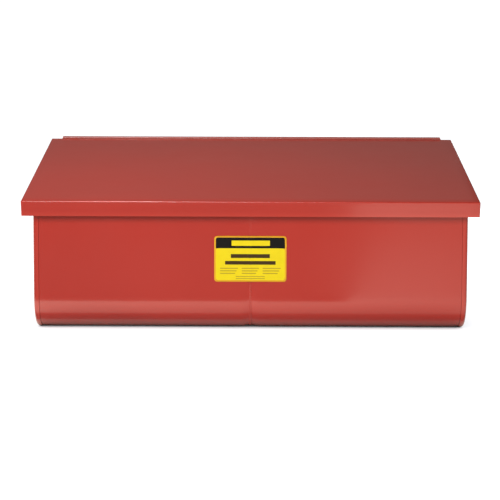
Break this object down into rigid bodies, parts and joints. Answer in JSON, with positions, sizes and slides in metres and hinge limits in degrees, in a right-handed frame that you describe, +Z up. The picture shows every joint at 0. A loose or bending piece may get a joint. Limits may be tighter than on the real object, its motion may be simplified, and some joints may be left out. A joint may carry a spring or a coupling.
{
  "type": "parts washer tank",
  "caption": "Bench-top sheet-steel tank for washing parts, with a sloping lid hinged at the back, a slotted stay, a sliding drain shelf and a drain plug.",
  "frame": {"origin": "on the ground, under the middle of the object's bounding box", "axes": "+X to the object's right as seen from its front, front towards -Y, +Z up"},
  "size_m": [0.921, 0.5398, 0.3806],
  "materials": {
    "red_paint": "gloss powder coat",
    "zinc_steel": "zinc plated",
    "brass": "satin",
    "label_film": "printed film"
  },
  "bodies": {
    "tank": {"shell_left": "red_paint", "shell_right": "red_paint", "centre_weld": "red_paint", "end_panel_left": "red_paint", "end_panel_right": "red_paint", "label": "label_film", "hinge_leaf_fixed": "red_paint", "hinge_pin": "zinc_steel", "stay_stud": "zinc_steel", "shelf_ledge_front": "red_paint", "shelf_ledge_back": "red_paint", "drain_coupling": "zinc_steel"},
    "lid": {"lid_pan": "red_paint", "hinge_leaf_moving": "red_paint", "lid_stiffener": "red_paint", "stay_bracket": "zinc_steel", "release_plate": "zinc_steel", "fusible_link": "brass", "link_rivet_front": "brass", "link_rivet_back": "brass", "pivot_rivet": "zinc_steel"},
    "stay": {"stay_arm": "zinc_steel"},
    "shelf": {"drain_shelf": "zinc_steel"},
    "plug": {"drain_plug": "brass"}
  },
  "joints": [
    {"name": "lid_hinge", "type": "hinge", "parent": "tank", "child": "lid", "pos_m": [0, 0.24149, 0.3772], "axis": [-1, 0, 0], "range_deg": [0, 75]},
    {"name": "stay_pivot", "type": "hinge", "parent": "lid", "child": "stay", "pos_m": [0.42, 0.11242, 0.32297], "axis": [1, 0, 0], "range_deg": [0, 37.5]},
    {"name": "shelf_slide", "type": "slide", "parent": "tank", "child": "shelf", "axis": [1, 0, 0], "range_m": [0, 0.23]},
    {"name": "plug_slide", "type": "slide", "parent": "tank", "child": "plug", "axis": [1, 0, 0], "range_m": [0, 0.03]}
  ],
  "couplings": [
    {"joint": "stay_pivot", "follows": "lid_hinge", "ratio": 0.5}
  ]
}
